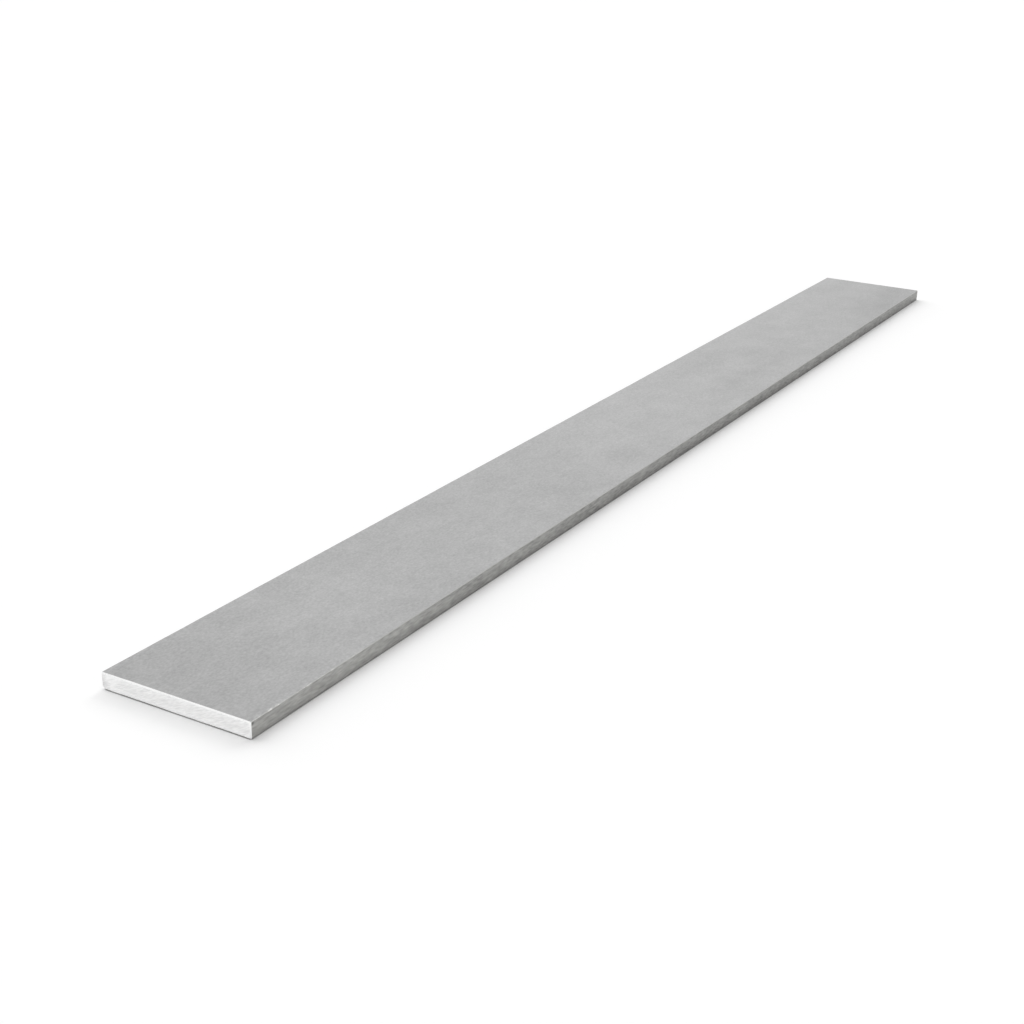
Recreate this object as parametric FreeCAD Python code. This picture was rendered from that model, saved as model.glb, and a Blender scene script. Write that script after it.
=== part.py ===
import FreeCAD, Part
import os

# A flat bar of extruded aluminium, cut to length with a saw. Its section is a thin rectangle with
# small rounded corners from the die. Its ends are square, with the saw's burr filed off all round.
# The bar lies on a wide face, and the origin is the middle of that face: +X runs along the bar,
# +Y across its width and +Z up through its thickness. Sizes are in millimetres.

# The section, a standard 50 x 5
WIDTH = 50.0
THICKNESS = 5.0
CORNER_RADIUS = 0.4

# The cut, measured over both sawn ends, and how far the file takes back the ends' edges
LENGTH = 550.0
DEBURR = 0.35


def corner(x, y, z, side, rise):
    """One rounded corner of the section at x. Side and rise say which way it points from its middle."""
    middle = FreeCAD.Vector(x, y - side * CORNER_RADIUS, z - rise * CORNER_RADIUS)
    slant = CORNER_RADIUS * 0.5**0.5
    on_edge = FreeCAD.Vector(x, y, middle.z)
    halfway = middle + FreeCAD.Vector(0, side * slant, rise * slant)
    on_face = FreeCAD.Vector(x, middle.y, z)
    return on_edge, halfway, on_face


def outline(x, inset):
    """The section's closed outline at x, with each of its four faces drawn in by the inset."""
    y = WIDTH / 2 - inset
    bottom = inset
    top = THICKNESS - inset
    # Anticlockwise, seen from the +X end, with each corner's points in the order of travel
    corners = [
        corner(x, y, top, 1, 1),
        corner(x, -y, top, -1, 1)[::-1],
        corner(x, -y, bottom, -1, -1),
        corner(x, y, bottom, 1, -1)[::-1],
    ]
    edges = []
    for number, (start, halfway, end) in enumerate(corners):
        next_start = corners[(number + 1) % len(corners)][0]
        edges.append(Part.Arc(start, halfway, end).toShape())
        edges.append(Part.LineSegment(end, next_start).toShape())
    return Part.Wire(edges)


def flat_bar():
    """The whole bar: full section between the two deburred ends, which narrow to the sawn faces."""
    end = LENGTH / 2
    shoulder = end - DEBURR
    outlines = [outline(-end, DEBURR), outline(-shoulder, 0), outline(shoulder, 0), outline(end, DEBURR)]
    solid, ruled = True, True
    return Part.makeLoft(outlines, solid, ruled)


os.makedirs("parts", exist_ok=True)
flat_bar().exportStep("parts/flat_bar.step")
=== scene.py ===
"""Dresses a mill-finish aluminium flat bar: one mesh with real relief, its finishes and its studio."""

import math
import random

import bmesh
import bpy
from bpy.props import FloatProperty, FloatVectorProperty, IntProperty, PointerProperty
from mathutils import Matrix, Vector, noise


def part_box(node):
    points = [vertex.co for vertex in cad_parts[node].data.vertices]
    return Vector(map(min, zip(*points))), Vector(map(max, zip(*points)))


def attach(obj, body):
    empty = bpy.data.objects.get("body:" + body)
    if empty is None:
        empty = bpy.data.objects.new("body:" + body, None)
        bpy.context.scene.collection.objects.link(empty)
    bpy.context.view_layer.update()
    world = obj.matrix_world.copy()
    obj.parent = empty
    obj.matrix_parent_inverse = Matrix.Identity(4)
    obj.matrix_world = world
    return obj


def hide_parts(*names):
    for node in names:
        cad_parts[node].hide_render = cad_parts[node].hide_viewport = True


bl_info = {
    "name": "Mill-finish flat bar",
    "version": (1, 0, 0),
    "blender": (4, 5, 0),
    "location": "3D View > Sidebar > Flat bar",
    "description": "Makes a sawn length of aluminium flat bar and the studio that it lies in",
    "category": "Add Mesh",
}

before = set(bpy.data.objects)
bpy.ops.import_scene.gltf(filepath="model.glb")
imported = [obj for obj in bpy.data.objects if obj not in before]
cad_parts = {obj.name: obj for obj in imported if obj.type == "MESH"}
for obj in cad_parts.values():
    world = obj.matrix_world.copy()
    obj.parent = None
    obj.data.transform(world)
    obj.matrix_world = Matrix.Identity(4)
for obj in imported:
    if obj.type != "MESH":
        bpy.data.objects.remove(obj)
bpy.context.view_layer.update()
NODE = "flat_bar"
BODY = "root"
MM = 0.001

# The bar lies on the floor, along X, with its middle at the origin. The photo looks at its near end
# from the right, and its near end is at -X and its left edge at +Y
HALF_LENGTH, HALF_WIDTH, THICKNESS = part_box(NODE)[1]
NEAR, FAR = -1, 1
LEFT, RIGHT = 1, -1
UPPER, LOWER = 1, -1

# The finishes, in the order of the bar's material slots
WIDE_FACE, NARROW_FACE, RUBBED_HIGHLIT_EDGE, SAWN_END, FILED_EDGE = range(5)

# How many steps the mesh has across each wide face, narrow face, rounded edge and filed edge, and
# across the rim of each sawn face
WIDE_STEPS = 150
NARROW_STEPS = 26
ARC_STEPS = 6
BEVEL_STEPS = 3
RIM_STEPS = 3

# How far apart the rings of points stand along the bar, close together over a length from the worn
# near end and more open past it
CLOSE_STEP = 1.5 * MM
CLOSE_LENGTH = 60 * MM
OPEN_STEP = 3.5 * MM

# How far from an end the body's first ring stands, and how far inside the edges' centres the grid of
# a sawn face starts, both as multiples of the lower deburr
RING_MARGIN = 1.5
GRID_MARGIN = 1.3

# Points closer together than this are one, and an edge shorter than this is none
SAME_PLACE = 0.001 * MM
NO_LENGTH = 0.0005 * MM

# Edges that turn by more than this stay crisp
CRISP = math.radians(25)

# Die lines, as shares of the deepest: their usual depth, how much the fine and the broad unevenness
# change it, and the least and the most that a score adds to it
DIE_USUAL, DIE_FINE, DIE_BROAD = 0.3, 0.35, 0.3
SCORE_LEAST, SCORE_MOST = 0.2, 0.5

# How far each die line stands from the last one along the fine and along the broad unevenness, and
# how likely a line is to be a score
FINE_STEP, BROAD_STEP = 0.62, 0.09
SCORE_CHANCE = 0.03

# How long the quick and the slow waves are in the wear of the long edges
QUICK_WAVE = 7 * MM
SLOW_WAVE = 31 * MM

# The file's cut: how many waves it makes over half the bar's width, the angle that it rocks through
# there, how strong the rocking is beside the waves, and how far the filed edge bulges, as a share of
# its depth
FILE_WAVES = 9
ROCKING_ANGLE = 5
ROCKING_SHARE = 0.5
FILE_CROWN = 0.06

# Saw marks, as shares of the deepest: their usual depth, and how much the teeth and the feed change it
SAW_USUAL, SAW_TOOTH, SAW_FEED = 0.45, 0.6, 0.5

# How long a tooth's mark is, and how many of the broader marks of the feed go across the saw's pitch
# and along a tooth's mark
TOOTH_LENGTH = 9 * MM
FEED_ACROSS, FEED_ALONG = 0.3, 0.4

# Half the size of a mark that goes right along the bar, of one that goes right across it, and of one
# that goes down from the top face but stops short of the bottom face
WHOLE_LENGTH = 2000 * MM
WHOLE_WIDTH = 100 * HALF_WIDTH
TOP_ONLY = 0.9 * THICKNESS

# How far from its middle a soft mark ends and how far it is at its full strength, in half sizes
MARK_RIM = 1
MARK_CORE = 0.1

# How long the waves are in the edges of soft marks, and how far the edges of the skin's marks wander
WANDER_SIZE = 14 * MM
SKIN_WANDER = (26 * MM, 18 * MM, 0)

# Soft marks in the mill skin of the top face. Each has its distance from the near end and from the
# left edge, half its length, half its width, and how much lighter it is than the skin, as a share
TOP_MARKS = (
    (15 * MM, 8 * MM, 60 * MM, 28 * MM, -0.005),
    (62 * MM, 22 * MM, 46 * MM, 22 * MM, 0.075),
    (95 * MM, 43 * MM, 60 * MM, 10 * MM, -0.020),
    (150 * MM, 10 * MM, 45 * MM, 14 * MM, -0.030),
    (185 * MM, 34 * MM, 50 * MM, 20 * MM, -0.040),
    (204 * MM, 13 * MM, 34 * MM, 14 * MM, -0.040),
    (280 * MM, 22 * MM, 70 * MM, 26 * MM, 0.030),
    (345 * MM, 37 * MM, 34 * MM, 9 * MM, -0.070),
    (362 * MM, 13 * MM, 40 * MM, 10 * MM, -0.060),
    (390 * MM, 31 * MM, 40 * MM, 16 * MM, -0.040),
    (460 * MM, 10 * MM, 80 * MM, 14 * MM, 0.010),
    (515 * MM, 43 * MM, 66 * MM, 18 * MM, -0.105),
)

# Soft marks in the skin of the narrow faces: the distance from the near end, the height, half the
# length, half the height of the mark, and how much lighter it is. They make the faces lighter near the
# near end and darker towards the far end. The third darkens them towards the foot, as painted shade,
# and the last two run the whole length, as painted dark lines along the foot and along the top edge
SIDE_MARKS_AND_SHADE = (
    (0 * MM, 2.5 * MM, 150 * MM, 9 * MM, 0.17),
    (560 * MM, 2.5 * MM, 110 * MM, 9 * MM, -0.07),
    (420 * MM, 0 * MM, 420 * MM, 7 * MM, -0.25),
    (330 * MM, 2.5 * MM, 300 * MM, 14 * MM, -0.03),
    (275 * MM, 0 * MM, WHOLE_LENGTH, 0.5 * MM, -0.32),
    (275 * MM, 5 * MM, WHOLE_LENGTH, 1.1 * MM, -0.12),
)

# A small dark patch on the right side, at its top corner by the near end, painted shade of a nick that
# the mesh doesn't have: its distance from the near end, its height, half its length, how deep it goes,
# half its height, and how much lighter it is
NICK_SHADE = (0.7 * MM, 4.3 * MM, 1.1 * MM, 5 * MM, 0.8 * MM, -0.70)

# The strips of the top face along its long edges that are lighter in specks, partly rubbed bright and
# partly a painted highlight: how far each reaches from the near end and in from the edge, and how much
# lighter its specks are
RUBBED_HIGHLIT_STRIP = (80 * MM, 2 * MM, 0.24)

# The lower left corner of the near end is darker: the height of the darker patch's middle, and how far it
# reaches along and up
DARK_CORNER_HEIGHT = 1.4 * MM
DARK_CORNER_REACH = 4 * MM

# How many rays measure the bar's closeness at a point of the paper, for its painted shade at the bar's
# foot, and the least distance that the camera sees
CONTACT_SHADE_RAYS = 4
LEAST_SEEN = 10 * MM


class FlatBarShape(bpy.types.PropertyGroup):
    """Sizes of the bar's edges and of the relief that its making left."""

    upper_radius: FloatProperty(
        name="Upper edge radius", description="Radius of the upper long edges",
        default=0.22 * MM, unit="LENGTH", precision=5)
    lower_radius: FloatProperty(
        name="Lower edge radius", description="Radius of the lower long edges, worn rounder by the floor",
        default=0.30 * MM, unit="LENGTH", precision=5)
    edge_wander: FloatProperty(
        name="Edge wander", description="How unevenly the long edges are worn, as a share of the radius",
        default=0.30, min=0, max=0.6, subtype="FACTOR")
    deburr: FloatProperty(
        name="Deburr", description="How far the file takes back the edges of the ends",
        default=0.35 * MM, unit="LENGTH", precision=5)
    lower_deburr: FloatProperty(
        name="Lower deburr", description="How far the file takes back the lower edge of each end",
        default=0.38 * MM, unit="LENGTH", precision=5)
    file_wander: FloatProperty(
        name="File wander", description="How unevenly the file cut, as a share of the deburr",
        default=0.15, min=0, max=0.5, subtype="FACTOR")
    worn_width: FloatProperty(
        name="Worn corner width", description="Width of the worn lower corner of the near end",
        default=2.4 * MM, unit="LENGTH", precision=5)
    worn_height: FloatProperty(
        name="Worn corner height", description="Height of the worn lower corner of the near end",
        default=1.2 * MM, unit="LENGTH", precision=5)
    worn_length: FloatProperty(
        name="Worn corner length", description="How far along the bar the worn corner fades out",
        default=12 * MM, unit="LENGTH", precision=5)
    die_depth: FloatProperty(
        name="Die line depth", description="Depth of the deepest lengthwise die line",
        default=0.004 * MM, unit="LENGTH", precision=6)
    saw_pitch: FloatProperty(
        name="Saw mark pitch", description="Distance from one saw mark to the next",
        default=1.1 * MM, unit="LENGTH", precision=5)
    saw_depth: FloatProperty(
        name="Saw mark depth", description="Depth of the deepest saw mark",
        default=0.02 * MM, unit="LENGTH", precision=6)
    saw_slant: FloatProperty(
        name="Saw mark slant", description="Angle of the saw marks to the width of the bar",
        default=math.radians(24), subtype="ANGLE")
    blade_radius: FloatProperty(
        name="Blade radius", description="Radius of the saw blade, which curves its marks",
        default=150 * MM, unit="LENGTH")
    seed: IntProperty(
        name="Seed", description="Start of the random draws for the die lines", default=7)


class FlatBarFinish(bpy.types.PropertyGroup):
    """Colours and roughness of the bar's finishes, and how its skin is grained and rubbed."""

    wide_colour: FloatVectorProperty(
        name="Wide faces", description="Colour of the mill skin on the wide faces",
        default=(0.405, 0.405, 0.405), min=0, max=1, subtype="COLOR")
    narrow_colour: FloatVectorProperty(
        name="Narrow faces", description="Colour of the mill skin on the narrow faces",
        default=(0.342, 0.341, 0.330), min=0, max=1, subtype="COLOR")
    # Lighter than the mill skin: partly worn bright, partly a painted highlight
    rubbed_highlit_colour: FloatVectorProperty(
        name="Rubbed edges", description="Colour of the upper long edges, rubbed by handling",
        default=(0.435, 0.435, 0.425), min=0, max=1, subtype="COLOR")
    sawn_colour: FloatVectorProperty(
        name="Sawn ends", description="Colour of the bright sawn ends",
        default=(0.895, 0.895, 0.892), min=0, max=1, subtype="COLOR")
    filed_colour: FloatVectorProperty(
        name="Filed edges", description="Colour of the bright filed edges",
        default=(0.93, 0.93, 0.93), min=0, max=1, subtype="COLOR")
    mill_roughness: FloatProperty(
        name="Mill roughness", description="Roughness of the mill skin",
        default=0.42, min=0, max=1, subtype="FACTOR")
    sawn_roughness: FloatProperty(
        name="Sawn roughness", description="Roughness of the sawn ends",
        default=0.60, min=0, max=1, subtype="FACTOR")
    filed_roughness: FloatProperty(
        name="Filed roughness", description="Roughness of the filed and rubbed edges",
        default=0.30, min=0, max=1, subtype="FACTOR")
    side_grain: FloatProperty(
        name="Side grain", description="How much stronger the skin's fine grain is on the narrow faces",
        default=2.1, min=0)
    side_drag: FloatProperty(
        name="Side drag", description="How much longer the skin's grain is drawn on the narrow faces",
        default=3.5, min=1)
    # The upper edges' bright specks near the near end are partly a painted highlight
    rubbed_highlit_length: FloatProperty(
        name="Rubbed length", description="How far from the near end the upper edges are rubbed bright",
        default=60 * MM, unit="LENGTH")


class FlatBarStudio(bpy.types.PropertyGroup):
    """Sizes and strengths of the studio that the bar lies in."""

    floor_size: FloatProperty(
        name="Floor size", description="How far the three corners of the floor are from the bar",
        default=50.0, unit="LENGTH")
    paper: FloatProperty(
        name="Paper", description="Share of the light that the white floor sends back",
        default=0.90, min=0, max=1, subtype="FACTOR")
    paper_lift: FloatProperty(
        name="Paper lift", description="Light added to the floor where it is seen, to make it white",
        default=0.114, min=0)
    # The paper's colour is darkened near the bar's foot: painted shade
    painted_contact_shade: FloatProperty(
        name="Contact", description="How far from the bar's foot the paper is darkened by its closeness",
        default=0.45 * MM, unit="LENGTH", precision=5)
    sky: FloatProperty(
        name="Sky", description="Level of the even light from all round, on the floor",
        default=0.375, min=0)
    key: FloatProperty(
        name="Key", description="Level of the soft light from behind and to the left, on the floor",
        default=0.49, min=0)
    key_heading: FloatProperty(
        name="Key heading", description="Where the key light stands, turned from +X towards +Y",
        default=math.radians(62), subtype="ANGLE")
    key_height: FloatProperty(
        name="Key height", description="Angle of the key light above the floor",
        default=math.radians(44), subtype="ANGLE")
    key_softness: FloatProperty(
        name="Key softness", description="Angle across the key light, as seen from the bar",
        default=math.radians(84), subtype="ANGLE")
    back: FloatProperty(
        name="Back light", description="Level of the lower light from beyond the far end, on the floor",
        default=0.13, min=0)
    back_heading: FloatProperty(
        name="Back light heading", description="Where the back light stands, turned from +X towards +Y",
        default=math.radians(5), subtype="ANGLE")
    back_height: FloatProperty(
        name="Back light height", description="Angle of the back light above the floor",
        default=math.radians(30), subtype="ANGLE")
    back_softness: FloatProperty(
        name="Back light softness", description="Angle across the back light, as seen from the bar",
        default=math.radians(35), subtype="ANGLE")
    glint: FloatProperty(
        name="Glint", description="How bright the low lamp looks that only metal shows",
        default=0.30, min=0)
    glint_heading: FloatProperty(
        name="Glint heading", description="Where the glint's lamp stands, turned from +X towards +Y",
        default=math.radians(32), subtype="ANGLE")
    glint_height: FloatProperty(
        name="Glint height", description="Angle of the glint's lamp above the floor",
        default=math.radians(12), subtype="ANGLE")
    glint_softness: FloatProperty(
        name="Glint softness", description="Angle across the glint's lamp, as seen from the bar",
        default=math.radians(30), subtype="ANGLE")
    lens: FloatProperty(
        name="Lens", description="Focal length of the camera, in millimetres",
        default=55.982, unit="CAMERA")
    camera_place: FloatVectorProperty(
        name="Camera place", description="Where the camera stands",
        default=(-0.54441, -0.25354, 0.20039), subtype="XYZ", unit="LENGTH")
    camera_aim: FloatVectorProperty(
        name="Camera aim", description="Where the camera's axis meets the floor",
        default=(-0.10573, -0.00098, 0.0), subtype="XYZ", unit="LENGTH")
    camera_roll: FloatProperty(
        name="Camera roll", description="Tilt of the camera about its own axis",
        default=math.radians(1.361), subtype="ANGLE")


def clamped(share):
    """The share, or 0 below 0 and 1 above 1."""
    return min(max(share, 0.0), 1.0)


def smooth_step(share):
    """Rises from 0 to 1 with flat ends, as the share goes from 0 to 1."""
    share = clamped(share)
    return share * share * (3 - 2 * share)


def between(low, high, share):
    """The value a share of the way from low to high."""
    return low + (high - low) * share


def unevenness(*place):
    """Smooth noise from about -1 to 1, whose waves are about 1 long.

    The plain numbers in a place only keep one use of the noise apart from another.
    """
    return noise.noise(Vector(place))


def section_spokes():
    """The spokes round the bar's section, anticlockwise seen from +X, and each one's finish.

    A spoke starts on a rectangle inside the section, at shares of its half sides, and points out.
    The faces come in the order top, right, bottom and left, each with the rounded edge after it.
    """
    spokes = []
    finishes = []
    quarter = math.pi / 2
    for turns in range(1, 5):
        out_y, out_z = round(math.cos(turns * quarter)), round(math.sin(turns * quarter))
        steps, finish = (WIDE_STEPS, WIDE_FACE) if out_z else (NARROW_STEPS, NARROW_FACE)
        next_finish = NARROW_FACE if out_z else WIDE_FACE
        for step in range(1, steps):
            across = 2 * step / steps - 1
            spokes.append((out_y - out_z * across, out_z + out_y * across, out_y, out_z))
            finishes.append(finish)
        side, rise = out_y - out_z, out_z + out_y
        for step in range(ARC_STEPS + 1):
            angle = quarter * (turns + step / ARC_STEPS)
            spokes.append((side, rise, math.cos(angle), math.sin(angle)))
            arc_finish = finish if step < ARC_STEPS / 2 else next_finish
            # The upper rounded edges take the rubbed finish, lighter than the skin: partly wear, partly a
            # painted highlight
            if rise == UPPER and step < ARC_STEPS:
                arc_finish = RUBBED_HIGHLIT_EDGE
            finishes.append(arc_finish)
    return spokes, finishes


class BarRelief:
    """What the die, the saw, the file and wear took off the plain bar."""

    def __init__(self, shape, spokes):
        self.shape = shape
        self.spokes = spokes
        self.die_lines = self.draw_die_lines()

    def draw_die_lines(self):
        """A depth for each spoke, the same all along the bar."""
        draw = random.Random(self.shape.seed)
        depths = []
        for number in range(len(self.spokes)):
            fine = unevenness(number * FINE_STEP, 0.5, 0.5)
            broad = unevenness(number * BROAD_STEP, 7.5, 0.5)
            score = draw.uniform(SCORE_LEAST, SCORE_MOST) if draw.random() < SCORE_CHANCE else 0.0
            share = DIE_USUAL + DIE_FINE * fine + DIE_BROAD * broad + score
            depths.append(self.shape.die_depth * clamped(share))
        return depths

    def edge_radius(self, x, side, rise):
        """Radius of a long edge at x. Between two edges it passes smoothly from one to the other."""
        def worn(edge_side, edge_rise):
            plain = self.shape.upper_radius if edge_rise == UPPER else self.shape.lower_radius
            quick = unevenness(x / QUICK_WAVE, edge_side * 3.5, edge_rise * 2.5)
            slow = unevenness(x / SLOW_WAVE, edge_side * 1.5, edge_rise * 4.5)
            return plain * (1 + self.shape.edge_wander * (quick + slow))
        across, up = (1 - side) / 2, (1 - rise) / 2
        if across in (0, 1) and up in (0, 1):
            return worn(side, rise)
        upper = between(worn(LEFT, UPPER), worn(RIGHT, UPPER), across)
        lower = between(worn(LEFT, LOWER), worn(RIGHT, LOWER), across)
        return between(upper, lower, up)

    def filed(self, end, number):
        """How far the file took the edge back at one spoke of an end."""
        side, rise, _, out_z = self.spokes[number]
        below = out_z * out_z if out_z < 0 else 0
        depth = between(self.shape.deburr, self.shape.lower_deburr, below)
        waves = unevenness(side * FILE_WAVES + end * 3, rise * 1.5, 2.5)
        rocking = ROCKING_SHARE * math.sin(side * ROCKING_ANGLE + end)
        return depth * (1 + self.shape.file_wander * (waves + rocking))

    def sawn(self, end, y, z):
        """Depth of the saw's marks at one point of an end, along curves of the blade's radius."""
        slant = self.shape.saw_slant
        right = y * end
        centre_right = -self.shape.blade_radius * math.sin(slant)
        centre_up = self.shape.blade_radius * math.cos(slant)
        radial = math.hypot(right - centre_right, z - centre_up) / self.shape.saw_pitch
        along = (right * math.cos(slant) + z * math.sin(slant)) / TOOTH_LENGTH
        tooth = unevenness(radial, along, end)
        feed = unevenness(radial * FEED_ACROSS, along * FEED_ALONG, 5 + end)
        return self.shape.saw_depth * clamped(SAW_USUAL + SAW_TOOTH * tooth + SAW_FEED * feed)

    def wear(self, x, y, z, inset):
        """Rounds the lower left corner of the near end, where the bar has been set down."""
        shape = self.shape
        fade = smooth_step((x + HALF_LENGTH) / shape.worn_length)
        width = between(shape.worn_width, shape.lower_radius, fade)
        height = between(shape.worn_height, shape.lower_radius, fade)
        from_side = (y - HALF_WIDTH + width) / width
        from_floor = (height - z) / height
        distance = math.hypot(from_side, from_floor)
        kept = 1 - 2 * inset / (width + height)
        if fade == 1 or from_side < 0 or from_floor < 0 or distance <= kept:
            return y, z
        reach = kept / distance
        return HALF_WIDTH - width + from_side * reach * width, height - from_floor * reach * height


class BarMesh:
    """The bar's points and faces, built ring by ring from the near end to the far end."""

    def __init__(self, shape):
        self.shape = shape
        self.spokes, self.finishes = section_spokes()
        self.relief = BarRelief(shape, self.spokes)
        self.grid_inset = shape.lower_radius + GRID_MARGIN * shape.lower_deburr
        self.points = []
        self.faces = []
        self.face_finishes = []

    def ring_point(self, number, centre_inset, radius):
        """Where a spoke ends, if the edges' centres lie inset from the faces and have the radius."""
        side, rise, out_y, out_z = self.spokes[number]
        y = side * (HALF_WIDTH - centre_inset) + out_y * radius
        z = THICKNESS / 2 + rise * (THICKNESS / 2 - centre_inset) + out_z * radius
        return y, z

    def radius_at(self, x, number):
        """The radius that the long edges have at x, where a spoke starts."""
        side, rise, _, _ = self.spokes[number]
        return self.relief.edge_radius(x, side, rise)

    def body_point(self, x, number):
        """A point of the drawn section, a die line's depth below its face."""
        radius = self.radius_at(x, number)
        y, z = self.ring_point(number, radius, radius - self.relief.die_lines[number])
        y, z = self.relief.wear(x, y, z, 0)
        return x, y, z

    def bevel_point(self, end, share, number):
        """A point of the filed edge, from the body at share 0 to the sawn face at share 1."""
        radius = self.radius_at(end * HALF_LENGTH, number)
        depth = self.relief.filed(end, number)
        crown = FILE_CROWN * depth * math.sin(math.pi * share)
        inset = depth * share - crown
        x = end * (HALF_LENGTH - depth * (1 - share) + crown)
        die_line = self.relief.die_lines[number] * (1 - share)
        y, z = self.ring_point(number, radius + inset, radius - die_line)
        y, z = self.relief.wear(x, y, z, inset)
        x -= end * share * self.relief.sawn(end, y, z)
        return x, y, z

    def sawn_point(self, end, y, z, inset):
        """A point of the sawn face, sunk by the saw's marks and kept inside the worn corner."""
        y, z = self.relief.wear(end * HALF_LENGTH, y, z, inset)
        return end * (HALF_LENGTH - self.relief.sawn(end, y, z)), y, z

    def rim_point(self, end, share, number):
        """A point of the sawn face's rim, from its outline at share 0 to its inner grid at share 1."""
        radius = self.radius_at(end * HALF_LENGTH, number)
        outline_inset = radius + self.relief.filed(end, number)
        centre_inset = between(outline_inset, self.grid_inset, share)
        y, z = self.ring_point(number, centre_inset, radius * (1 - share))
        return self.sawn_point(end, y, z, between(outline_inset - radius, self.grid_inset, share))

    def add_ring(self, place, *values):
        """Adds one ring of points, given by a method that takes the values and a spoke's number."""
        start = len(self.points)
        self.points += [place(*values, number) for number in range(len(self.spokes))]
        return start

    def join_rings(self, start, next_start, finish):
        """Joins two rings by a band of quads, with one finish, or with each spoke's if that is None."""
        count = len(self.spokes)
        for number in range(count):
            following = (number + 1) % count
            quad = (start + number, next_start + number, next_start + following, start + following)
            self.faces.append(quad)
            self.face_finishes.append(self.finishes[number] if finish is None else finish)

    def add_sawn_grid(self, end):
        """Fills the inside of a sawn face with a grid whose border lies on the rim's last ring."""
        start = len(self.points)
        for row in range(NARROW_STEPS + 1):
            for column in range(WIDE_STEPS + 1):
                y = (2 * column / WIDE_STEPS - 1) * (HALF_WIDTH - self.grid_inset)
                z = THICKNESS / 2 + (2 * row / NARROW_STEPS - 1) * (THICKNESS / 2 - self.grid_inset)
                self.points.append(self.sawn_point(end, y, z, self.grid_inset))
        width = WIDE_STEPS + 1
        for row in range(NARROW_STEPS):
            for column in range(WIDE_STEPS):
                corner = start + row * width + column
                quad = (corner, corner + 1, corner + 1 + width, corner + width)
                self.faces.append(quad if end == FAR else quad[::-1])
                self.face_finishes.append(SAWN_END)

    def stations(self):
        """Where the body's rings stand, between the rings that end the filed edges."""
        close_from = -HALF_LENGTH + RING_MARGIN * self.shape.lower_deburr
        close_to = close_from + CLOSE_LENGTH
        open_to = HALF_LENGTH - RING_MARGIN * self.shape.lower_deburr
        close_count = round(CLOSE_LENGTH / CLOSE_STEP)
        open_count = round((open_to - close_to) / OPEN_STEP)
        close = [between(close_from, close_to, step / close_count) for step in range(close_count)]
        return close + [between(close_to, open_to, step / open_count) for step in range(open_count + 1)]

    def build(self):
        """Makes the whole bar and returns its mesh."""
        rings = []
        for step in range(RIM_STEPS, 0, -1):
            rings.append((self.add_ring(self.rim_point, NEAR, step / RIM_STEPS), SAWN_END))
        for step in range(BEVEL_STEPS, 0, -1):
            rings.append((self.add_ring(self.bevel_point, NEAR, step / BEVEL_STEPS), FILED_EDGE))
        rings.append((self.add_ring(self.bevel_point, NEAR, 0), None))
        for x in self.stations():
            rings.append((self.add_ring(self.body_point, x), None))
        for step in range(BEVEL_STEPS):
            rings.append((self.add_ring(self.bevel_point, FAR, step / BEVEL_STEPS), FILED_EDGE))
        rings.append((self.add_ring(self.bevel_point, FAR, 1), SAWN_END))
        for step in range(1, RIM_STEPS + 1):
            rings.append((self.add_ring(self.rim_point, FAR, step / RIM_STEPS), SAWN_END))
        for (start, finish), (next_start, _) in zip(rings, rings[1:]):
            self.join_rings(start, next_start, finish)
        self.add_sawn_grid(NEAR)
        self.add_sawn_grid(FAR)
        return self.finished_mesh()

    def finished_mesh(self):
        """The mesh, with its doubled points joined, its faces smooth and its sharp edges marked."""
        mesh = bpy.data.meshes.new(NODE)
        mesh.from_pydata(self.points, [], self.faces)
        mesh.polygons.foreach_set("material_index", self.face_finishes)
        work = bmesh.new()
        work.from_mesh(mesh)
        bmesh.ops.remove_doubles(work, verts=work.verts, dist=SAME_PLACE)
        bmesh.ops.dissolve_degenerate(work, edges=work.edges, dist=NO_LENGTH)
        for face in work.faces:
            face.smooth = True
        for edge in work.edges:
            edge.smooth = edge.calc_face_angle(0) < CRISP
        work.to_mesh(mesh)
        work.free()
        mesh.validate()
        return mesh


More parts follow.
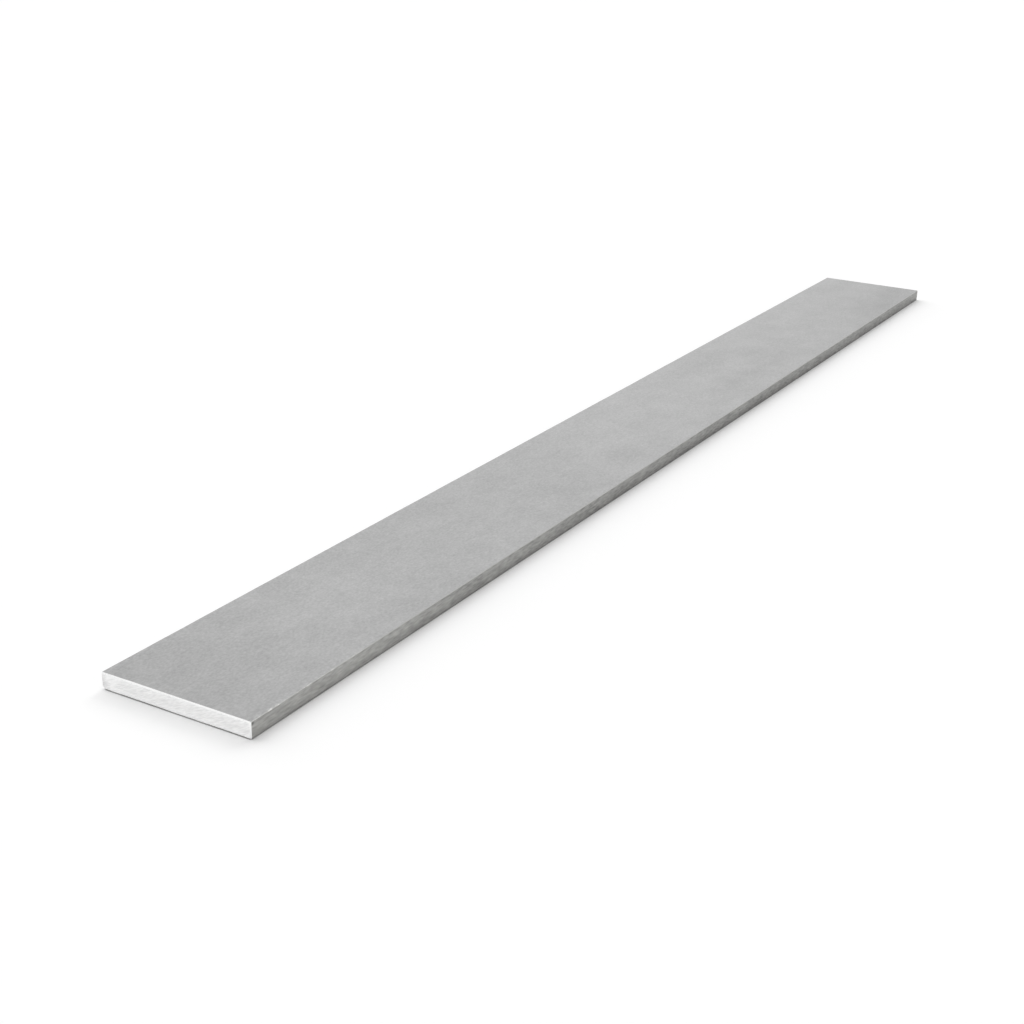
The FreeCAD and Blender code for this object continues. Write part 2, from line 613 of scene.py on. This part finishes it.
class Finish:
    """A metal's material in the making, with short ways to add and join its nodes."""

    def __init__(self, name, colour, roughness):
        self.material = bpy.data.materials.new(name)
        self.material.use_nodes = True
        self.tree = self.material.node_tree
        self.colour = (*colour, 1)
        self.roughness = roughness
        self.shader = self.tree.nodes["Principled BSDF"]
        self.shader.inputs["Metallic"].default_value = 1
        self.shader.inputs["Base Color"].default_value = self.colour
        self.shader.inputs["Roughness"].default_value = roughness
        self.place = self.tree.nodes.new("ShaderNodeTexCoord").outputs["Object"]

    def join(self, value, socket):
        """Gives a socket a value, or another node's output."""
        if isinstance(value, bpy.types.NodeSocket):
            self.tree.links.new(value, socket)
        else:
            socket.default_value = value

    def calculate(self, operation, first, second, third=0.0):
        """One sum on numbers."""
        node = self.tree.nodes.new("ShaderNodeMath")
        node.operation = operation
        for value, socket in zip((first, second, third), node.inputs):
            self.join(value, socket)
        return node.outputs["Value"]

    def in_units(self, size, centre=(0, 0, 0), turn=(0, 0, 0), place=None):
        """The place on the bar, measured from a centre in turned units of the given size."""
        node = self.tree.nodes.new("ShaderNodeMapping")
        node.vector_type = "TEXTURE"
        self.join(place or self.place, node.inputs["Vector"])
        node.inputs["Location"].default_value = centre
        node.inputs["Rotation"].default_value = turn
        node.inputs["Scale"].default_value = size
        return node.outputs["Vector"]

    def cloud(self, size, turn=(0, 0, 0), detail=2.0, harshness=0.5, shift=0.0):
        """Soft noise from about -1 to 1, whose blotches have the given size.

        The shift only keeps one cloud apart from another.
        """
        node = self.tree.nodes.new("ShaderNodeTexNoise")
        self.join(self.in_units(size, (shift, shift, shift), turn), node.inputs["Vector"])
        node.inputs["Scale"].default_value = 1
        node.inputs["Detail"].default_value = detail
        node.inputs["Roughness"].default_value = harshness
        return self.calculate("MULTIPLY_ADD", node.outputs["Fac"], 2, -1)

    def ramp(self, value, start, full):
        """Rises smoothly from 0 at the start to 1 where it is full, which may be below the start."""
        node = self.tree.nodes.new("ShaderNodeMapRange")
        node.interpolation_type = "SMOOTHSTEP"
        self.join(value, node.inputs["Value"])
        node.inputs["From Min"].default_value = start
        node.inputs["From Max"].default_value = full
        return node.outputs["Result"]

    def total(self, parts):
        """The sum of pairs of a value and its weight."""
        result = 0.0
        for value, weight in parts:
            result = self.calculate("MULTIPLY_ADD", value, weight, result)
        return result

    def soft_marks(self, marks, wander=(0, 0, 0)):
        """Soft marks, each from its centre, half sizes and lightness. Their edges may wander."""
        warp = self.tree.nodes.new("ShaderNodeTexNoise")
        self.join(self.in_units((WANDER_SIZE, WANDER_SIZE, WANDER_SIZE)), warp.inputs["Vector"])
        warp.inputs["Scale"].default_value = 1
        warp.inputs["Detail"].default_value = 3
        shifted = self.tree.nodes.new("ShaderNodeVectorMath")
        shifted.operation = "MULTIPLY_ADD"
        self.join(warp.outputs["Color"], shifted.inputs[0])
        shifted.inputs[1].default_value = wander
        self.join(self.place, shifted.inputs[2])
        parts = []
        for centre, size, lightness in marks:
            middle = Vector(centre) + Vector(wander) / 2
            length = self.tree.nodes.new("ShaderNodeVectorMath")
            length.operation = "LENGTH"
            self.join(self.in_units(size, middle, place=shifted.outputs[0]), length.inputs[0])
            parts.append((self.ramp(length.outputs["Value"], MARK_RIM, MARK_CORE), lightness))
        return self.total(parts)

    def tint(self, lightness):
        """Makes the base colour lighter or darker by a share that varies over the surface."""
        factor = self.calculate("ADD", lightness, 1)
        node = self.tree.nodes.new("ShaderNodeVectorMath")
        node.operation = "SCALE"
        node.inputs[0].default_value = self.colour[:3]
        self.join(factor, node.inputs["Scale"])
        self.join(node.outputs["Vector"], self.shader.inputs["Base Color"])

    def vary_roughness(self, change):
        """Adds a change that varies over the surface to the roughness."""
        self.join(self.calculate("ADD", change, self.roughness), self.shader.inputs["Roughness"])

    def raise_relief(self, height, depth):
        """Turns a height from -1 to 1 into relief of the given depth."""
        node = self.tree.nodes.new("ShaderNodeBump")
        node.inputs["Distance"].default_value = depth
        self.join(height, node.inputs["Height"])
        self.join(node.outputs["Normal"], self.shader.inputs["Normal"])


def top_marks():
    """The centre, half sizes and lightness of each mark of the top face. They miss the bottom face."""
    for along, across, half_length, half_width, lightness in TOP_MARKS:
        centre = (along - HALF_LENGTH, HALF_WIDTH - across, THICKNESS)
        yield centre, (half_length, half_width, TOP_ONLY), lightness


def side_marks_and_shade():
    """The centre, half sizes and lightness of each mark and painted shade of the narrow faces, the same
    on both.
    """
    for along, height, half_length, half_height, lightness in SIDE_MARKS_AND_SHADE:
        centre = (along - HALF_LENGTH, 0, height)
        yield centre, (half_length, WHOLE_WIDTH, half_height), lightness


def painted_nick_shade():
    """The painted nick shade's centre, half sizes and lightness. It is on the right side only."""
    along, height, half_length, depth, half_height, lightness = NICK_SHADE
    centre = (along - HALF_LENGTH, RIGHT * HALF_WIDTH, height)
    return centre, (half_length, depth, half_height), lightness


def rubbed_highlit_strips():
    """The centre, half sizes and lightness of each strip of bright specks, partly a painted highlight.
    Each spreads from a near corner.
    """
    length, width, lightness = RUBBED_HIGHLIT_STRIP
    for side in (LEFT, RIGHT):
        centre = (-HALF_LENGTH, side * HALF_WIDTH, THICKNESS)
        yield centre, (length, width, TOP_ONLY), lightness


def rubbed_highlit_specks(finish):
    """Specks from 0 to 1 where hands and cloths rub the edges bright, partly a painted highlight."""
    rubs_and_highlights = finish.cloud((2.6 * MM, 1.2 * MM, 1.2 * MM), detail=3, harshness=0.65, shift=0.043)
    return finish.ramp(rubs_and_highlights, -0.1, 0.4)


def mill_skin(name, colour, roughness, marks, coarse=1.0, drag=1.0, shade_flecks=(), rubs_and_highlights=()):
    """Extruded aluminium as it leaves the die: cloudy, fine grained and faintly streaked lengthwise.

    The grain may be coarser than usual, and drawn out longer. The marks with crisp edges are small
    patches of painted shade, and the rubbed marks show only as bright specks, partly a painted highlight.
    """
    finish = Finish(name, colour, roughness)
    broad = finish.cloud((60 * MM, 30 * MM, 30 * MM), shift=0.031)
    patches = finish.cloud((17 * MM, 12 * MM, 12 * MM), shift=0.017)
    mottle = finish.cloud((6 * MM, 4.2 * MM, 4.2 * MM), shift=0.053)
    specks = finish.cloud((2.1 * MM * drag, 1.5 * MM, 1.5 * MM), shift=0.029)
    grain = finish.cloud((0.85 * MM * drag, 0.6 * MM, 0.6 * MM), detail=1, shift=0.007)
    streaks = finish.cloud((70 * MM, 1.1 * MM, 1.1 * MM), detail=4, harshness=0.7, shift=0.011)
    clouds = [(broad, 0.08), (patches, 0.11), (mottle, 0.11), (streaks, 0.05)]
    grains = [(specks, 0.085), (grain, 0.22 * coarse)]
    # On the narrow faces the soft marks include painted shade towards the foot and along the top edge
    soft = finish.soft_marks(marks, SKIN_WANDER)
    # The small crisp marks here are painted shade
    small = finish.soft_marks(shade_flecks)
    # The rubbed strips' bright specks are partly a painted highlight
    rubbed = finish.calculate("MULTIPLY", finish.soft_marks(rubs_and_highlights), rubbed_highlit_specks(finish))
    finish.tint(finish.total(clouds + grains + [(soft, 1.0), (small, 1.0), (rubbed, 1.0)]))
    finish.vary_roughness(finish.total([(broad, 0.05), (mottle, 0.05), (streaks, 0.04)]))
    finish.raise_relief(finish.total([(streaks, 0.5), (specks, 0.3), (grain, 0.35)]), 0.012 * MM)
    return finish.material


def rubbed_highlit_skin(name, colour, roughness, length):
    """Mill skin along an edge, rubbed bright in specks by hands and cloths towards the near end, and
    partly a painted highlight.
    """
    finish = Finish(name, colour, roughness)
    rubs_and_highlights = rubbed_highlit_specks(finish)
    runs = finish.cloud((24 * MM, 24 * MM, 24 * MM), shift=0.047)
    handled_and_highlit = ((-HALF_LENGTH, 0, THICKNESS), (length, WHOLE_WIDTH, 10 * THICKNESS), 1)
    near = finish.soft_marks([handled_and_highlit])
    specks = finish.calculate("MULTIPLY", rubs_and_highlights, near)
    finish.tint(finish.total([(specks, 0.85), (runs, 0.10), (near, 0.10)]))
    finish.vary_roughness(finish.total([(rubs_and_highlights, 0.05), (runs, 0.06)]))
    finish.raise_relief(rubs_and_highlights, 0.003 * MM)
    return finish.material


def darker_corner(half_width, lightness):
    """A mark that makes the lower left corner of the near end darker."""
    centre = (-HALF_LENGTH, LEFT * HALF_WIDTH, DARK_CORNER_HEIGHT)
    return centre, (DARK_CORNER_REACH, half_width, DARK_CORNER_REACH), lightness


def sawn_metal(name, colour, roughness, slant):
    """Bright metal torn by the saw's teeth, in fine slanting marks."""
    finish = Finish(name, colour, roughness)
    turn = (-slant, 0, 0)
    teeth = finish.cloud((6 * MM, 3.2 * MM, 0.5 * MM), turn, detail=1, shift=0.013)
    tears = finish.cloud((0.8 * MM, 1.8 * MM, 0.20 * MM), turn, shift=0.019)
    patches = finish.cloud((8 * MM, 5 * MM, 2.5 * MM), turn, shift=0.029)
    torn = finish.total([(teeth, 0.04), (tears, 0.19)])
    uneven = finish.calculate("MULTIPLY", torn, finish.calculate("MULTIPLY_ADD", patches, 0.6, 1))
    # Painted light: a lighter band at the foot of the near end, against the floor's shade that the end
    # mirrors
    painted_bright_foot = ((-HALF_LENGTH, 0, 0), (4 * MM, WHOLE_WIDTH, 2.4 * MM), 0.10)
    marks = finish.soft_marks([darker_corner(3.6 * MM, -0.20), painted_bright_foot])
    finish.tint(finish.total([(uneven, 1.0), (marks, 1.0)]))
    finish.vary_roughness(finish.total([(teeth, 0.08), (patches, 0.05)]))
    finish.raise_relief(finish.total([(teeth, 0.4), (tears, 0.4)]), 0.02 * MM)
    return finish.material


def filed_metal(name, colour, roughness):
    """Bright metal cut back by a fine file, whose strokes cross the edge. Its lower part is lighter, as
    painted light, and the near end's lower left corner is darker.
    """
    finish = Finish(name, colour, roughness)
    strokes = finish.cloud((0.5 * MM, 0.35 * MM, 0.5 * MM), harshness=0.6, shift=0.037)
    passes = finish.cloud((5 * MM, 5 * MM, 2 * MM), shift=0.041)
    # Painted light: the lower filed edges are lighter, against the dark floor at the foot that they
    # mirror
    painted_bright_foot = ((0, 0, 0), (2 * HALF_LENGTH, WHOLE_WIDTH, 1.1 * MM), 0.07)
    marks = finish.soft_marks([darker_corner(2.5 * MM, -0.40), painted_bright_foot])
    finish.tint(finish.total([(strokes, 0.12), (passes, 0.05), (marks, 1.0)]))
    finish.vary_roughness(finish.total([(strokes, 0.08), (passes, 0.06)]))
    finish.raise_relief(strokes, 0.01 * MM)
    return finish.material


class FLATBAR_OT_make_bar(bpy.types.Operator):
    """Make the flat bar, with its relief and its finishes"""

    bl_idname = "flatbar.make_bar"
    bl_label = "Make flat bar"

    def execute(self, context):
        shape = context.scene.flat_bar_shape
        looks = context.scene.flat_bar_finish
        mill, filed = looks.mill_roughness, looks.filed_roughness
        bar = bpy.data.objects.new("mill_flat_bar", BarMesh(shape).build())
        context.scene.collection.objects.link(bar)
        # In the order of the finishes' numbers
        for material in (
            mill_skin("Mill skin, wide face", looks.wide_colour, mill, top_marks(),
                      rubs_and_highlights=rubbed_highlit_strips()),
            mill_skin("Mill skin, narrow face", looks.narrow_colour, mill, side_marks_and_shade(),
                      coarse=looks.side_grain, drag=looks.side_drag, shade_flecks=[painted_nick_shade()]),
            # The rubbed edges' lighter colour is partly a painted highlight
            rubbed_highlit_skin("Rubbed and highlit edge", looks.rubbed_highlit_colour, filed, looks.rubbed_highlit_length),
            sawn_metal("Sawn end", looks.sawn_colour, looks.sawn_roughness, shape.saw_slant),
            filed_metal("Filed edge", looks.filed_colour, filed),
        ):
            bar.data.materials.append(material)
        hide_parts(NODE)
        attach(bar, BODY)
        return {"FINISHED"}


def seen_factor(tree):
    """1 where a ray comes from the camera, or off metal or through glass, and 0 for light on paint."""
    path = tree.nodes.new("ShaderNodeLightPath")
    total = path.outputs["Is Camera Ray"]
    for name in ("Is Glossy Ray", "Is Transmission Ray"):
        add = tree.nodes.new("ShaderNodeMath")
        add.operation = "ADD"
        add.use_clamp = True
        tree.links.new(total, add.inputs[0])
        tree.links.new(path.outputs[name], add.inputs[1])
        total = add.outputs["Value"]
    return total


def make_sky(studio):
    """A world that looks white and lights the floor evenly from all round."""
    world = bpy.data.worlds.new("White room")
    world.use_nodes = True
    tree = world.node_tree
    tree.nodes.clear()
    lighting = tree.nodes.new("ShaderNodeBackground")
    lighting.inputs["Strength"].default_value = studio.sky
    seen = tree.nodes.new("ShaderNodeBackground")
    seen.inputs["Strength"].default_value = 1
    for background in (lighting, seen):
        background.inputs["Color"].default_value = (1, 1, 1, 1)
    mix = tree.nodes.new("ShaderNodeMixShader")
    output = tree.nodes.new("ShaderNodeOutputWorld")
    tree.links.new(seen_factor(tree), mix.inputs["Fac"])
    tree.links.new(lighting.outputs["Background"], mix.inputs[1])
    tree.links.new(seen.outputs["Background"], mix.inputs[2])
    tree.links.new(mix.outputs["Shader"], output.inputs["Surface"])
    bpy.context.scene.world = world


def white_paper(studio):
    """Paper that takes shadows, with painted shade darkening it at the bar's foot. Where it is seen, it
    gives a little light.
    """
    material = bpy.data.materials.new("White paper")
    material.use_nodes = True
    tree = material.node_tree
    tree.nodes.clear()
    paper = tree.nodes.new("ShaderNodeBsdfDiffuse")
    # Painted shade: the bar's closeness darkens the paper's colour near its foot
    painted_contact_shade = tree.nodes.new("ShaderNodeAmbientOcclusion")
    painted_contact_shade.samples = CONTACT_SHADE_RAYS
    painted_contact_shade.inputs["Distance"].default_value = studio.painted_contact_shade
    painted_contact_shade.inputs["Color"].default_value = (studio.paper, studio.paper, studio.paper, 1)
    tree.links.new(painted_contact_shade.outputs["Color"], paper.inputs["Color"])
    lift = tree.nodes.new("ShaderNodeEmission")
    strength = tree.nodes.new("ShaderNodeMath")
    strength.operation = "MULTIPLY"
    strength.inputs[1].default_value = studio.paper_lift
    add = tree.nodes.new("ShaderNodeAddShader")
    output = tree.nodes.new("ShaderNodeOutputMaterial")
    tree.links.new(seen_factor(tree), strength.inputs[0])
    tree.links.new(strength.outputs["Value"], lift.inputs["Strength"])
    tree.links.new(paper.outputs["BSDF"], add.inputs[0])
    tree.links.new(lift.outputs["Emission"], add.inputs[1])
    tree.links.new(add.outputs["Shader"], output.inputs["Surface"])
    return material


def make_floor(studio):
    """A sheet of white paper that takes the bar's shadow. As one triangle, it has no seam to show."""
    reach = studio.floor_size
    thirds = [2 * math.pi * number / 3 for number in range(3)]
    corners = [(reach * math.cos(turn), reach * math.sin(turn), 0) for turn in thirds]
    mesh = bpy.data.meshes.new("floor")
    mesh.from_pydata(corners, [], [(0, 1, 2)])
    mesh.materials.append(white_paper(studio))
    floor = bpy.data.objects.new("floor", mesh)
    bpy.context.scene.collection.objects.link(floor)


def make_lamp(name, energy, heading, height, softness):
    """A far and soft lamp. Its energy is what falls on a square metre that faces it."""
    data = bpy.data.lights.new(name, "SUN")
    data.angle = softness
    data.energy = energy
    lamp = bpy.data.objects.new(name, data)
    flat = math.cos(height)
    stands = Vector((flat * math.cos(heading), flat * math.sin(heading), math.sin(height)))
    lamp.rotation_mode = "QUATERNION"
    lamp.rotation_quaternion = stands.to_track_quat("Z", "Y")
    bpy.context.scene.collection.objects.link(lamp)
    return lamp


def make_lamps(studio):
    """The key and the back light, which draw the shadows, and the glint, which only metal shows."""
    for name, level, heading, height, softness in (
        ("Key", studio.key, studio.key_heading, studio.key_height, studio.key_softness),
        ("Back light", studio.back, studio.back_heading, studio.back_height, studio.back_softness),
    ):
        lamp = make_lamp(name, math.pi * level / math.sin(height), heading, height, softness)
        lamp.visible_glossy = False
    energy = math.pi * studio.glint * math.sin(studio.glint_softness / 2) ** 2
    glint = make_lamp("Glint", energy, studio.glint_heading, studio.glint_height, studio.glint_softness)
    glint.visible_diffuse = False


def make_camera(studio):
    """The camera, at the place, aim and tilt of the photograph's."""
    forward = (studio.camera_aim - studio.camera_place).normalized()
    level = forward.cross(Vector((0, 0, 1))).normalized()
    right = level * math.cos(studio.camera_roll) + level.cross(forward) * math.sin(studio.camera_roll)
    up = right.cross(forward)
    data = bpy.data.cameras.new("Camera")
    data.lens = studio.lens
    data.clip_start = LEAST_SEEN
    camera = bpy.data.objects.new("Camera", data)
    turned = Matrix((right, up, -forward)).transposed().to_4x4()
    camera.matrix_world = Matrix.Translation(studio.camera_place) @ turned
    bpy.context.scene.collection.objects.link(camera)
    bpy.context.scene.camera = camera


class FLATBAR_OT_make_studio(bpy.types.Operator):
    """Make the white floor, the even light, the lamps and the camera"""

    bl_idname = "flatbar.make_studio"
    bl_label = "Make studio"

    def execute(self, context):
        studio = context.scene.flat_bar_studio
        make_sky(studio)
        make_floor(studio)
        make_lamps(studio)
        make_camera(studio)
        context.scene.view_settings.view_transform = "Standard"
        return {"FINISHED"}


class FLATBAR_PT_panel(bpy.types.Panel):
    """Lists the flat bar's operators and settings"""

    bl_idname = "FLATBAR_PT_panel"
    bl_label = "Flat bar"
    bl_space_type = "VIEW_3D"
    bl_region_type = "UI"
    bl_category = "Flat bar"

    def draw(self, context):
        layout = self.layout
        scene = context.scene
        layout.operator(FLATBAR_OT_make_bar.bl_idname)
        layout.operator(FLATBAR_OT_make_studio.bl_idname)
        for group in (scene.flat_bar_shape, scene.flat_bar_finish, scene.flat_bar_studio):
            box = layout.box()
            for name in group.__annotations__:
                box.prop(group, name)


CLASSES = (
    FlatBarShape,
    FlatBarFinish,
    FlatBarStudio,
    FLATBAR_OT_make_bar,
    FLATBAR_OT_make_studio,
    FLATBAR_PT_panel,
)


def register():
    """Adds the classes, and their settings to the scene."""
    for cls in CLASSES:
        bpy.utils.register_class(cls)
    bpy.types.Scene.flat_bar_shape = PointerProperty(type=FlatBarShape)
    bpy.types.Scene.flat_bar_finish = PointerProperty(type=FlatBarFinish)
    bpy.types.Scene.flat_bar_studio = PointerProperty(type=FlatBarStudio)


def unregister():
    """Takes the settings and the classes away again."""
    del bpy.types.Scene.flat_bar_shape
    del bpy.types.Scene.flat_bar_finish
    del bpy.types.Scene.flat_bar_studio
    for cls in reversed(CLASSES):
        bpy.utils.unregister_class(cls)


def main():
    """Makes the bar and its studio."""
    register()
    bpy.ops.flatbar.make_bar()
    bpy.ops.flatbar.make_studio()
    bpy.context.view_layer.update()


if __name__ == "__main__":
    main()
